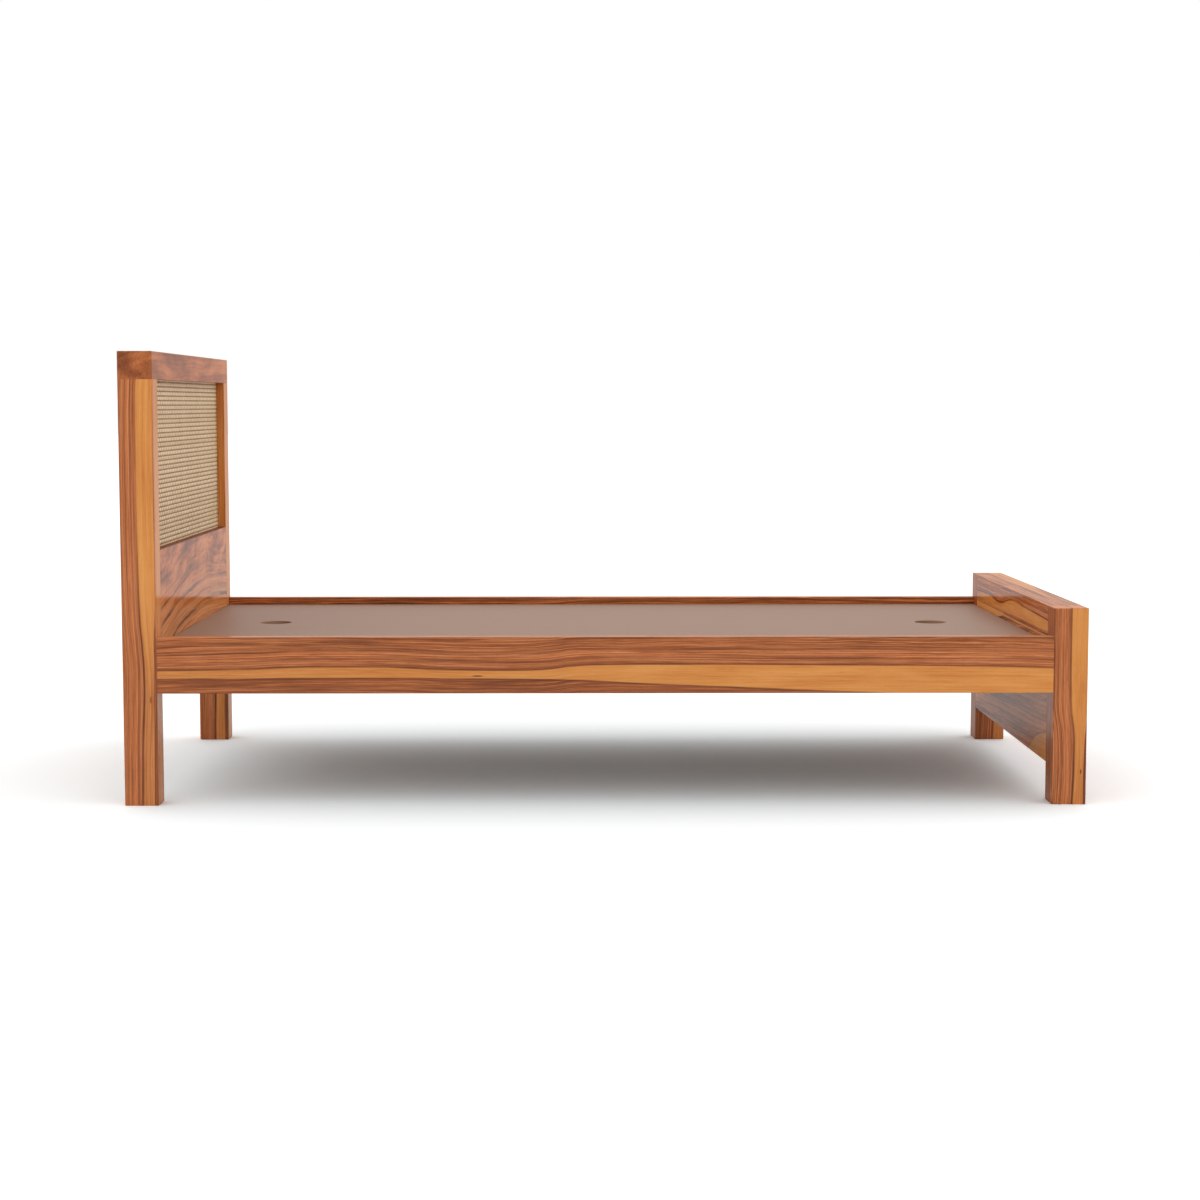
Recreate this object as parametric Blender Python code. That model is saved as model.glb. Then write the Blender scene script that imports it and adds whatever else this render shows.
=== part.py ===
"""Single bed in figured hardwood with a cane headboard and a lift-out platform board.

Metres, +Z up. X runs along the bed with the headboard at -X, Y runs across it,
and the origin is on the floor under the middle of the bed.
"""
import math

import bmesh
import bpy
from mathutils import Vector

# Overall sizes
BED_LENGTH = 2.140
BED_WIDTH = 1.038
HEAD_HEIGHT = 1.006
FOOT_HEIGHT = 0.440

# Posts, cap and rails
POST_LENGTHWISE = 0.076
HEAD_POST_CROSSWISE = 0.061
FOOT_POST_CROSSWISE = 0.072
CAP_HEIGHT = 0.061
FOOT_RAIL_HEIGHT = 0.062
RAIL_TOP = 0.377
RAIL_HEIGHT = 0.126
RAIL_THICKNESS = 0.028
EDGE_RADIUS = 0.0015

# Solid panels, and the tongues and tenons that hold the boards together
PANEL_THICKNESS = 0.038
HEAD_PANEL_TOP = 0.568
FOOT_PANEL_BOTTOM = 0.085
TONGUE_THICKNESS = 0.012
TONGUE_LENGTH = 0.012
TENON_LENGTH = 0.028
TENON_SHOULDER = 0.014

# Cane field of the headboard
CANE_RECESS = 0.019
CANE_THICKNESS = 0.0016
BACKING_THICKNESS = 0.006
REBATE_LAP = 0.010
BEAD_DEPTH = 0.010
BEAD_HEIGHT = 0.012
BEAD_RADIUS = 0.003

# Platform board
BOARD_DROP = 0.0185
BOARD_THICKNESS = 0.016
BOARD_GAP = 0.002
BOARD_EASE = 0.0008
FINGER_HOLE_DIAMETER = 0.076
FINGER_HOLE_FROM_HEAD = 0.1925
FINGER_HOLE_FROM_FOOT = 0.1945

# Ledgers and cross battens under the board
LEDGER_WIDTH = 0.030
LEDGER_UNDER_BATTEN = 0.018
LEDGER_PAST_BATTEN = 0.012
BATTEN_COUNT = 5
BATTEN_WIDTH = 0.060
BATTEN_THICKNESS = 0.022
BATTEN_CLEAR_OF_HOLE = 0.010
BATTEN_RADIUS = 0.001

# Connector bolts, barrel nuts and dowels at the rail ends
BOLT_DIAMETER = 0.008
BOLT_HEAD_DIAMETER = 0.018
BOLT_HEAD_HEIGHT = 0.003
BOLT_SOCKET_DIAMETER = 0.006
BOLT_SOCKET_DEPTH = 0.002
BOLT_FROM_EDGE = 0.032
BOLT_PAST_NUT = 0.010
NUT_DIAMETER = 0.014
NUT_LENGTH = 0.020
NUT_FROM_RAIL_END = 0.036
DOWEL_DIAMETER = 0.010
DOWEL_LENGTH = 0.060

# Countersunk screws in the batten ends
SCREW_DIAMETER = 0.004
SCREW_HEAD_DIAMETER = 0.008
SCREW_HEAD_HEIGHT = 0.0024
SCREW_BITE = 0.012
SCREW_SOCKET_DIAMETER = 0.003
SCREW_SOCKET_DEPTH = 0.0014

# Clearance between pieces that touch, run of a cutter past a face, and facets
FIT = 0.0003
CUT_RUN = 0.004
EDGE_SEGMENTS = 2
FINGER_HOLE_SIDES = 64
ROD_SIDES = 16
SCREW_SIDES = 10

# Faces, ends and levels that the pieces share
half_length = BED_LENGTH / 2
half_width = BED_WIDTH / 2
end_face = half_length - POST_LENGTHWISE
head_post_face = half_width - HEAD_POST_CROSSWISE
foot_post_face = half_width - FOOT_POST_CROSSWISE
rail_face = half_width - RAIL_THICKNESS
rail_middle = half_width - RAIL_THICKNESS / 2
rail_bottom = RAIL_TOP - RAIL_HEIGHT
cap_bottom = HEAD_HEIGHT - CAP_HEIGHT
foot_rail_bottom = FOOT_HEIGHT - FOOT_RAIL_HEIGHT
tongue_middle = end_face + PANEL_THICKNESS / 2
lip_back = -end_face - CANE_RECESS
rebate_floor = HEAD_PANEL_TOP - REBATE_LAP
rebate_side = head_post_face + REBATE_LAP
rebate_top = cap_bottom + REBATE_LAP
backing_front = lip_back - FIT - CANE_THICKNESS - FIT
bead_front = backing_front - BACKING_THICKNESS - FIT
board_top = RAIL_TOP - BOARD_DROP
board_bottom = board_top - BOARD_THICKNESS
ledger_top = board_bottom - FIT
ledger_face = rail_face - FIT
ledger_middle = ledger_face - LEDGER_WIDTH / 2
batten_bottom = ledger_top - BATTEN_THICKNESS
hole_radius = FINGER_HOLE_DIAMETER / 2
hole_head = -end_face + FINGER_HOLE_FROM_HEAD
hole_foot = end_face - FINGER_HOLE_FROM_FOOT
batten_from_hole = hole_radius + BATTEN_CLEAR_OF_HOLE + BATTEN_WIDTH / 2
batten_first = hole_head - batten_from_hole
batten_last = hole_foot + batten_from_hole
ledger_past_middle = BATTEN_WIDTH / 2 + LEDGER_PAST_BATTEN
nut_station = end_face - FIT - NUT_FROM_RAIL_END
bolt_tip = nut_station - BOLT_PAST_NUT
bolt_levels = {"upper": RAIL_TOP - BOLT_FROM_EDGE, "lower": rail_bottom + BOLT_FROM_EDGE}
dowel_level = rail_bottom + RAIL_HEIGHT / 2

ENDS = (("head", -1), ("foot", 1))
SIDES = (("left", -1), ("right", 1))
FACES = {
    "head": Vector((-1, 0, 0)),
    "foot": Vector((1, 0, 0)),
    "left": Vector((0, -1, 0)),
    "right": Vector((0, 1, 0)),
    "top": Vector((0, 0, 1)),
    "bottom": Vector((0, 0, -1)),
}
EVERY_FACE = tuple(FACES)


def linear(colour):
    """Linear light values of an 8-bit screen colour."""
    shares = [channel / 255 for channel in colour]
    return [s / 12.92 if s <= 0.04045 else ((s + 0.055) / 1.055) ** 2.4 for s in shares]


def finish(name, colour, roughness, metallic=0.0):
    """A plain material with one colour, roughness and metallic value."""
    made = bpy.data.materials.new(name)
    made.use_nodes = True
    shader = made.node_tree.nodes["Principled BSDF"]
    shader.inputs["Base Color"].default_value = (*linear(colour), 1.0)
    shader.inputs["Roughness"].default_value = roughness
    shader.inputs["Metallic"].default_value = metallic
    return made


def assembly(name):
    """An empty on the floor that a group of pieces hangs from."""
    made = bpy.data.objects.new(name, None)
    bpy.context.collection.objects.link(made)
    return made


def place(name, shape, centre, look=None, group=None):
    """Turn a shape round its own origin into an object at a place."""
    mesh = bpy.data.meshes.new(name)
    shape.to_mesh(mesh)
    shape.free()
    made = bpy.data.objects.new(name, mesh)
    made.location = centre
    made.parent = group
    bpy.context.collection.objects.link(made)
    if look:
        mesh.materials.append(look)
    return made


def aim(shape, axis):
    """Turn a shape that stands along Z to point along an axis."""
    turn = Vector((0, 0, 1)).rotation_difference(Vector(axis)).to_matrix()
    bmesh.ops.rotate(shape, cent=(0, 0, 0), matrix=turn, verts=shape.verts)
    return shape


def box_shape(size):
    """A box of a given size round the origin."""
    shape = bmesh.new()
    bmesh.ops.create_cube(shape, size=1.0)
    bmesh.ops.scale(shape, vec=size, verts=shape.verts)
    return shape


def rod_shape(run, radius):
    """A cylinder round the origin, as long as a run and along it."""
    shape = bmesh.new()
    bmesh.ops.create_cone(shape, cap_ends=True, segments=ROD_SIDES, radius1=radius, radius2=radius,
                          depth=run.length)
    return aim(shape, run)


def turned_shape(profile, axis, sides):
    """A turned solid: radius and height points spun round Z, then aimed along an axis."""
    shape = bmesh.new()
    points = [shape.verts.new((radius, 0, height)) for radius, height in profile]
    edges = [shape.edges.new(pair) for pair in zip(points, points[1:])]
    bmesh.ops.spin(shape, geom=points + edges, cent=(0, 0, 0), axis=(0, 0, 1), angle=math.tau, steps=sides)
    bmesh.ops.remove_doubles(shape, verts=shape.verts, dist=0.00001)
    bmesh.ops.recalc_face_normals(shape, faces=shape.faces)
    return aim(shape, axis)


def soften(piece):
    """Shade a round piece smooth, with its real corners kept sharp."""
    piece.data.shade_smooth()
    piece.data.set_sharp_from_angle(angle=math.radians(35))


def block(name, low, high, look, group, sharp=(), radius=EDGE_RADIUS):
    """A sawn piece between two corners, its edges eased except round the faces named in sharp."""
    low = Vector(low)
    high = Vector(high)
    shape = box_shape(high - low)
    square = [FACES[face] for face in sharp]
    eased = []
    for edge in shape.edges:
        if not any(face.normal.dot(side) > 0.9 for face in edge.link_faces for side in square):
            eased.append(edge)
    if eased:
        bmesh.ops.bevel(shape, geom=eased, offset=radius, segments=EDGE_SEGMENTS, profile=0.5,
                        affect="EDGES", clamp_overlap=True)
    return place(name, shape, (low + high) / 2, look, group)


def combine(piece, shape, centre, operation):
    """Cut a helper shape out of a piece, or join it on."""
    helper = place(f"helper_{piece.name}_{len(piece.modifiers) + 1}", shape, centre)
    helper.hide_render = True
    helper.display_type = "WIRE"
    step = piece.modifiers.new(helper.name, "BOOLEAN")
    step.operation = operation
    step.solver = "EXACT"
    step.object = helper


def cut_box(piece, low, high):
    """Cut a box between two corners out of a piece."""
    low = Vector(low)
    high = Vector(high)
    combine(piece, box_shape(high - low), (low + high) / 2, "DIFFERENCE")


def join_box(piece, low, high):
    """Join a box between two corners to a piece."""
    low = Vector(low)
    high = Vector(high)
    combine(piece, box_shape(high - low), (low + high) / 2, "UNION")


def bore(piece, start, end, diameter):
    """Drill a round hole from one point to another."""
    start = Vector(start)
    end = Vector(end)
    combine(piece, rod_shape(end - start, diameter / 2), (start + end) / 2, "DIFFERENCE")


def span(sign, inner, outer):
    """Low and high ends of a stretch on one side of the middle."""
    return sorted((sign * inner, sign * outer))


def tongue_stretch(sign):
    """Where a panel's tongue lies along the bed: in the middle of the panel's thickness."""
    return span(sign, tongue_middle - TONGUE_THICKNESS / 2, tongue_middle + TONGUE_THICKNESS / 2)


def cap_tenon_box(y_sign, gap):
    """Corners of the tenon on a head post, grown by a gap for its mortise."""
    y_low, y_high = span(y_sign, rebate_side + TENON_SHOULDER - gap, half_width - TENON_SHOULDER + gap)
    low = (-half_length + TENON_SHOULDER - gap, y_low, cap_bottom - CUT_RUN)
    high = (-end_face - TENON_SHOULDER + gap, y_high, cap_bottom + TENON_LENGTH + gap)
    return low, high


def foot_tenon_box(y_sign, gap):
    """Corners of a tenon on the footboard's top rail, grown by a gap for its mortise."""
    y_low, y_high = span(y_sign, foot_post_face - CUT_RUN, foot_post_face + TENON_LENGTH + gap)
    tenon_bottom = foot_rail_bottom + TONGUE_LENGTH + TENON_SHOULDER / 2
    low = (end_face + TENON_SHOULDER - gap, y_low, tenon_bottom - gap)
    high = (half_length - TENON_SHOULDER + gap, y_high, FOOT_HEIGHT - TENON_SHOULDER + gap)
    return low, high


def cut_groove(post, sign, y_sign, face, bottom, top):
    """Groove down a post's inner side for a panel's tongue."""
    x_low, x_high = tongue_stretch(sign)
    y_low, y_high = span(y_sign, face - CUT_RUN, face + TONGUE_LENGTH)
    cut_box(post, (x_low - FIT, y_low, bottom - FIT), (x_high + FIT, y_high, top + FIT))


def bore_bolts(piece, sign, y_sign):
    """Clearance holes for the two bolts of a corner, through a post or into a rail's end."""
    y = y_sign * rail_middle
    for level in bolt_levels.values():
        start = (sign * (bolt_tip - FIT), y, level)
        end = (sign * (half_length + CUT_RUN), y, level)
        bore(piece, start, end, BOLT_DIAMETER + 2 * FIT)


def bore_dowel(piece, sign, y_sign, into_rail):
    """Blind hole for half of a corner's dowel, into the rail's end or into the post."""
    y = y_sign * rail_middle
    depth = DOWEL_LENGTH / 2 + FIT
    blind, mouth = (end_face - depth, end_face + CUT_RUN)
    if not into_rail:
        blind, mouth = (end_face + depth, end_face - CUT_RUN)
    bore(piece, (sign * blind, y, dowel_level), (sign * mouth, y, dowel_level), DOWEL_DIAMETER + 2 * FIT)


def drill_post(post, sign, y_sign):
    """Holes in a post for the bolts, their sunk heads and the dowel."""
    bore_bolts(post, sign, y_sign)
    for level in bolt_levels.values():
        seat = (sign * (half_length - BOLT_HEAD_HEIGHT - FIT), y_sign * rail_middle, level)
        mouth = (sign * (half_length + CUT_RUN), y_sign * rail_middle, level)
        bore(post, seat, mouth, BOLT_HEAD_DIAMETER + 2 * FIT)
    bore_dowel(post, sign, y_sign, into_rail=False)


def make_head_post(side, y_sign, look, group):
    """One tall post, with the tenon for the cap and the rebate for the cane field."""
    y_low, y_high = span(y_sign, head_post_face, half_width)
    post = block(f"headboard_post_{side}", (-half_length, y_low, 0), (-end_face, y_high, cap_bottom - FIT),
                 look, group, ("top",))
    join_box(post, *cap_tenon_box(y_sign, 0))
    y_low, y_high = span(y_sign, head_post_face - CUT_RUN, rebate_side)
    cut_box(post, (-half_length - CUT_RUN, y_low, rebate_floor), (lip_back, y_high, cap_bottom + CUT_RUN))
    cut_groove(post, -1, y_sign, head_post_face, rail_bottom, rebate_floor)
    drill_post(post, -1, y_sign)


def make_cap(look, group):
    """The rail that lies across the tops of the head posts."""
    cap = block("headboard_cap", (-half_length, -half_width, cap_bottom),
                (-end_face, half_width, HEAD_HEIGHT), look, group, ("bottom",))
    for _, y_sign in SIDES:
        cut_box(cap, *cap_tenon_box(y_sign, FIT))
    cut_box(cap, (-half_length - CUT_RUN, -rebate_side, cap_bottom - CUT_RUN),
            (lip_back, rebate_side, rebate_top))


def make_head_panel(look, group):
    """The solid panel below the cane, level with the rails' bottoms."""
    back = -end_face - PANEL_THICKNESS
    reach = head_post_face - FIT
    panel = block("headboard_lower_panel", (back, -reach, rail_bottom), (-end_face, reach, HEAD_PANEL_TOP),
                  look, group, ("left", "right"))
    x_low, x_high = tongue_stretch(-1)
    join_box(panel, (x_low, -reach - TONGUE_LENGTH, rail_bottom + EDGE_RADIUS),
             (x_high, reach + TONGUE_LENGTH, rebate_floor - EDGE_RADIUS))
    cut_box(panel, (back - CUT_RUN, -half_width, rebate_floor),
            (lip_back, half_width, HEAD_PANEL_TOP + CUT_RUN))


def make_cane_field(cane, ply, look, group):
    """Cane on its ply backing in the rebate, held by four beads at the back."""
    side = rebate_side - FIT
    bottom = rebate_floor + FIT
    top = rebate_top - FIT
    block("cane_webbing", (backing_front + FIT, -side, bottom), (lip_back - FIT, side, top),
          cane, group, EVERY_FACE)
    block("cane_backing_panel", (backing_front - BACKING_THICKNESS, -side, bottom),
          (backing_front, side, top), ply, group, EVERY_FACE)
    back = bead_front - BEAD_DEPTH
    ends = ("left", "right")
    block("cane_bead_bottom", (back, -side, bottom), (bead_front, side, bottom + BEAD_HEIGHT),
          look, group, ends, BEAD_RADIUS)
    block("cane_bead_top", (back, -side, top - BEAD_HEIGHT), (bead_front, side, top),
          look, group, ends, BEAD_RADIUS)
    for name, y_sign in SIDES:
        y_low, y_high = span(y_sign, side - BEAD_HEIGHT, side)
        block(f"cane_bead_{name}", (back, y_low, bottom + BEAD_HEIGHT + FIT),
              (bead_front, y_high, top - BEAD_HEIGHT - FIT), look, group, ("top", "bottom"), BEAD_RADIUS)


def make_foot_post(side, y_sign, look, group):
    """One short post, with the mortise for the top rail."""
    y_low, y_high = span(y_sign, foot_post_face, half_width)
    post = block(f"footboard_post_{side}", (end_face, y_low, 0), (half_length, y_high, FOOT_HEIGHT),
                 look, group)
    cut_box(post, *foot_tenon_box(y_sign, FIT))
    cut_groove(post, 1, y_sign, foot_post_face, FOOT_PANEL_BOTTOM, foot_rail_bottom)
    drill_post(post, 1, y_sign)


def make_foot_rail(look, group):
    """The full-depth rail between the tops of the foot posts."""
    reach = foot_post_face - FIT
    rail = block("footboard_top_rail", (end_face, -reach, foot_rail_bottom),
                 (half_length, reach, FOOT_HEIGHT), look, group, ("left", "right"))
    for _, y_sign in SIDES:
        join_box(rail, *foot_tenon_box(y_sign, 0))
    x_low, x_high = tongue_stretch(1)
    cut_box(rail, (x_low - FIT, -half_width, foot_rail_bottom - CUT_RUN),
            (x_high + FIT, half_width, foot_rail_bottom + TONGUE_LENGTH))


def make_foot_panel(look, group):
    """The solid panel under the top rail, tongued into the posts and the rail."""
    reach = foot_post_face - FIT
    top = foot_rail_bottom - FIT
    panel = block("footboard_panel", (end_face, -reach, FOOT_PANEL_BOTTOM),
                  (end_face + PANEL_THICKNESS, reach, top), look, group, ("left", "right", "top"))
    x_low, x_high = tongue_stretch(1)
    join_box(panel, (x_low, -reach - TONGUE_LENGTH, FOOT_PANEL_BOTTOM + EDGE_RADIUS),
             (x_high, reach + TONGUE_LENGTH, top - EDGE_RADIUS))
    join_box(panel, (x_low, -reach + EDGE_RADIUS, top - CUT_RUN),
             (x_high, reach - EDGE_RADIUS, top + TONGUE_LENGTH))


def make_side_rail(side, y_sign, look, group):
    """One long rail, drilled at both ends for its bolts, nuts and dowels."""
    y_low, y_high = span(y_sign, rail_face, half_width)
    rail = block(f"side_rail_{side}", (-end_face + FIT, y_low, rail_bottom),
                 (end_face - FIT, y_high, RAIL_TOP), look, group, ("head", "foot"))
    nut_end = rail_middle + NUT_LENGTH / 2 + FIT
    for _, sign in ENDS:
        bore_bolts(rail, sign, y_sign)
        bore_dowel(rail, sign, y_sign, into_rail=True)
        for level in bolt_levels.values():
            mouth = (sign * nut_station, y_sign * (rail_face - CUT_RUN), level)
            bore(rail, mouth, (sign * nut_station, y_sign * nut_end, level), NUT_DIAMETER + 2 * FIT)


def batten_stations():
    """Middles of the cross battens along the bed, clear of the finger holes at both ends."""
    step = (batten_last - batten_first) / (BATTEN_COUNT - 1)
    return [batten_first + step * index for index in range(BATTEN_COUNT)]


def make_ledger(side, y_sign, look, group):
    """One cleat glued along a rail, notched for the battens and drilled for their screws."""
    y_low, y_high = span(y_sign, ledger_face - LEDGER_WIDTH, ledger_face)
    low = (batten_first - ledger_past_middle, y_low, batten_bottom - LEDGER_UNDER_BATTEN)
    high = (batten_last + ledger_past_middle, y_high, ledger_top)
    ledger = block(f"ledger_{side}", low, high, look, group, (), BATTEN_RADIUS)
    half_notch = BATTEN_WIDTH / 2 + FIT
    hole_bottom = -BATTEN_THICKNESS - SCREW_BITE - FIT
    for station in batten_stations():
        cut_box(ledger, (station - half_notch, -half_width, batten_bottom - FIT),
                (station + half_notch, half_width, ledger_top + CUT_RUN))
        hole = turned_shape(screw_hole_profile(hole_bottom), (0, 0, 1), SCREW_SIDES)
        combine(ledger, hole, (station, y_sign * ledger_middle, ledger_top), "DIFFERENCE")


def make_batten(number, station, look, group):
    """One cross batten, let into both ledgers and drilled for its screws."""
    half = BATTEN_WIDTH / 2
    batten = block(f"cross_batten_{number}", (station - half, -ledger_face, batten_bottom),
                   (station + half, ledger_face, ledger_top), look, group, (), BATTEN_RADIUS)
    for _, y_sign in SIDES:
        hole = turned_shape(screw_hole_profile(-BATTEN_THICKNESS - CUT_RUN), (0, 0, 1), SCREW_SIDES)
        combine(batten, hole, (station, y_sign * ledger_middle, ledger_top), "DIFFERENCE")


def screw_hole_profile(bottom):
    """Countersunk hole, measured down from the batten's top."""
    shank = SCREW_DIAMETER / 2 + FIT
    head = SCREW_HEAD_DIAMETER / 2 + FIT
    neck = -FIT - SCREW_HEAD_HEIGHT
    return [(0, CUT_RUN), (head, CUT_RUN), (head, -FIT), (shank, neck), (shank, bottom), (0, bottom)]


def make_batten_screw(name, x, y, steel, group):
    """One countersunk screw with its head level with the batten's top."""
    shank = SCREW_DIAMETER / 2
    socket = SCREW_SOCKET_DIAMETER / 2
    neck = -FIT - SCREW_HEAD_HEIGHT
    tip = -BATTEN_THICKNESS - SCREW_BITE
    profile = [(0, -SCREW_SOCKET_DEPTH), (socket, -SCREW_SOCKET_DEPTH), (socket, -FIT),
               (SCREW_HEAD_DIAMETER / 2, -FIT), (shank, neck), (shank, tip + SCREW_DIAMETER), (0, tip)]
    soften(place(name, turned_shape(profile, (0, 0, 1), SCREW_SIDES), (x, y, ledger_top), steel, group))


def make_rail_bolt(name, sign, y, level, steel, group):
    """One flat-headed connector bolt, its head sunk flush in the post."""
    shank = BOLT_DIAMETER / 2
    socket = BOLT_SOCKET_DIAMETER / 2
    head = BOLT_HEAD_DIAMETER / 2
    tip = bolt_tip - half_length
    profile = [(0, -BOLT_SOCKET_DEPTH), (socket, -BOLT_SOCKET_DEPTH), (socket, 0), (head, 0),
               (head, -BOLT_HEAD_HEIGHT), (shank, -BOLT_HEAD_HEIGHT), (shank, tip), (0, tip)]
    bolt = turned_shape(profile, (sign, 0, 0), ROD_SIDES)
    soften(place(name, bolt, (sign * half_length, y, level), steel, group))


def make_barrel_nut(name, sign, y, level, steel, group):
    """One barrel nut across the rail, with the hole that takes the bolt."""
    centre = Vector((sign * nut_station, y, level))
    nut = place(name, rod_shape(Vector((0, NUT_LENGTH, 0)), NUT_DIAMETER / 2), centre, steel, group)
    reach = Vector((NUT_DIAMETER, 0, 0))
    bore(nut, centre - reach, centre + reach, BOLT_DIAMETER + 2 * FIT)
    soften(nut)


def make_corner_fasteners(end, sign, side, y_sign, steel, beech, group):
    """Bolts, barrel nuts and the dowel that join a rail to a post."""
    y = y_sign * rail_middle
    for row, level in bolt_levels.items():
        make_rail_bolt(f"rail_bolt_{end}_{side}_{row}", sign, y, level, steel, group)
        make_barrel_nut(f"barrel_nut_{end}_{side}_{row}", sign, y, level, steel, group)
    dowel = rod_shape(Vector((DOWEL_LENGTH, 0, 0)), DOWEL_DIAMETER / 2)
    soften(place(f"rail_dowel_{end}_{side}", dowel, (sign * end_face, y, dowel_level), beech, group))


def finger_hole_profile():
    """Cutter for a finger hole with eased rims, round the middle of the board's thickness."""
    rim = BOARD_THICKNESS / 2
    flare = hole_radius + BOARD_EASE + CUT_RUN
    return [(0, rim + CUT_RUN), (flare, rim + CUT_RUN), (hole_radius, rim - BOARD_EASE),
            (hole_radius, BOARD_EASE - rim), (flare, -rim - CUT_RUN), (0, -rim - CUT_RUN)]


def make_mattress_board(look):
    """The platform board with its two finger holes, on an empty that marks its lift."""
    reach = rail_face - BOARD_GAP
    board = block("mattress_board", (-end_face + BOARD_GAP, -reach, board_bottom),
                  (end_face - BOARD_GAP, reach, board_top), look, assembly("board_lift"), (), BOARD_EASE)
    for x in (hole_head, hole_foot):
        hole = turned_shape(finger_hole_profile(), (0, 0, 1), FINGER_HOLE_SIDES)
        combine(board, hole, (x, 0, board_top - BOARD_THICKNESS / 2), "DIFFERENCE")


def main():
    """Clear the scene and build the bed."""
    for old in list(bpy.data.objects):
        bpy.data.objects.remove(old, do_unlink=True)
    rosewood = finish("lacquered_rosewood", (166, 94, 60), 0.35)
    cane = finish("woven_cane", (208, 178, 138), 0.60)
    ply = finish("brown_ply", (122, 84, 52), 0.60)
    softwood = finish("plain_softwood", (196, 160, 112), 0.65)
    laminate = finish("taupe_laminate", (172, 144, 130), 0.50)
    steel = finish("zinc_steel", (170, 170, 168), 0.35, 1.0)
    beech = finish("beech", (205, 170, 125), 0.60)
    headboard = assembly("headboard")
    footboard = assembly("footboard")
    base = assembly("base")
    make_cap(rosewood, headboard)
    make_head_panel(rosewood, headboard)
    make_cane_field(cane, ply, rosewood, headboard)
    make_foot_rail(rosewood, footboard)
    make_foot_panel(rosewood, footboard)
    for side, y_sign in SIDES:
        make_head_post(side, y_sign, rosewood, headboard)
        make_foot_post(side, y_sign, rosewood, footboard)
        make_side_rail(side, y_sign, rosewood, base)
        make_ledger(side, y_sign, softwood, base)
        for end, sign in ENDS:
            make_corner_fasteners(end, sign, side, y_sign, steel, beech, base)
    for number, station in enumerate(batten_stations(), 1):
        make_batten(number, station, softwood, base)
        for side, y_sign in SIDES:
            make_batten_screw(f"batten_screw_{number}_{side}", station, y_sign * ledger_middle, steel, base)
    make_mattress_board(laminate)


main()
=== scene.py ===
"""Finishes, cane weave and studio stage for a single bed in figured rosewood, laid out as an add-on."""
import math
from collections import namedtuple

import bmesh
import bpy
from bpy.props import FloatProperty, FloatVectorProperty, PointerProperty
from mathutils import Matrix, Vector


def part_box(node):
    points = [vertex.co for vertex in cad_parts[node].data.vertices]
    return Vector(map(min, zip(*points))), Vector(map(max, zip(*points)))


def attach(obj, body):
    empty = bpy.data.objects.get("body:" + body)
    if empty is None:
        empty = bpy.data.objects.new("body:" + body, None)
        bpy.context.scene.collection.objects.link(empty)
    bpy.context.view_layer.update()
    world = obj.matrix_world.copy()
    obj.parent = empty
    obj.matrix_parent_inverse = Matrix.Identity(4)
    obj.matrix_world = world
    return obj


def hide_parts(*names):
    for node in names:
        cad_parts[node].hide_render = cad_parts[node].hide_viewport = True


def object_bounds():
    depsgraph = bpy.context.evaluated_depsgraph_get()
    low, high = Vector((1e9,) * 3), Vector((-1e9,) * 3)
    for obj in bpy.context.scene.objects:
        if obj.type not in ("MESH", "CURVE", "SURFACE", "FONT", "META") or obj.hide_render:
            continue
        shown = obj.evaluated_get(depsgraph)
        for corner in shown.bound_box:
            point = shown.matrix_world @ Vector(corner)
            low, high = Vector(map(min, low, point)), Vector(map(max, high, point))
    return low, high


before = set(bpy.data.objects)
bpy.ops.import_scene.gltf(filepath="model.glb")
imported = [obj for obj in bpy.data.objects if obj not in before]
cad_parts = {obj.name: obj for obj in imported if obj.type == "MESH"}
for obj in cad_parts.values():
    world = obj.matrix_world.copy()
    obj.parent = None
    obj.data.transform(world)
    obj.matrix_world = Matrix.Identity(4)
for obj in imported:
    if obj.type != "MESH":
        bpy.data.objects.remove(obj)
cad_box = [list(corner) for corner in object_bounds()]

bl_info = {
    "name": "Cane bed finishes",
    "version": (1, 0, 0),
    "blender": (4, 5, 0),
    "location": "View3D > Sidebar > Cane bed",
    "description": "Timber, cane and board finishes for a single bed, with a white studio stage",
    "category": "Object",
}

# Faces of the bed, read from the frame
NEAR_SIDE, FOOT_END, CAP_TOP = cad_box[0][1], cad_box[1][0], cad_box[1][2]
HEAD_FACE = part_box("headboard_lower_panel")[1].x
HEAD_PANEL_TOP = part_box("headboard_lower_panel")[1].z
POST_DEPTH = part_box("headboard_post_left")[1].y - NEAR_SIDE
FOOT_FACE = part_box("footboard_panel")[0].x
FOOT_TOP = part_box("footboard_top_rail")[1].z
RAIL_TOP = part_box("side_rail_left")[1].z

# Radius of the eased edges, in metres
EASED = 0.0015

# Share of the pitch, to each side of a crossing, on which a strand of cane lies flat
FLAT_SHARE = 0.26

# Lift of a strand as a share of its thickness: over a half, so that strands clear each other
LIFT_SHARE = 0.52


# Settings

def tint(red, green, blue):
    """Linear light values of an 8-bit screen colour."""
    shares = [channel / 255 for channel in (red, green, blue)]
    return tuple(s / 12.92 if s <= 0.04045 else ((s + 0.055) / 1.055) ** 2.4 for s in shares)


def colour(name, description, screen):
    """A colour setting whose default is given as an 8-bit screen colour."""
    return FloatVectorProperty(name=name, description=description, subtype="COLOR", size=3, min=0, max=1,
                               default=tint(*screen))


def size(name, description, metres):
    """A length setting in metres."""
    return FloatProperty(name=name, description=description, subtype="DISTANCE", unit="LENGTH",
                         default=metres, precision=4)


def share(name, description, value):
    """A setting from 0 to 1."""
    return FloatProperty(name=name, description=description, subtype="FACTOR", min=0, max=1, default=value)


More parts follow.
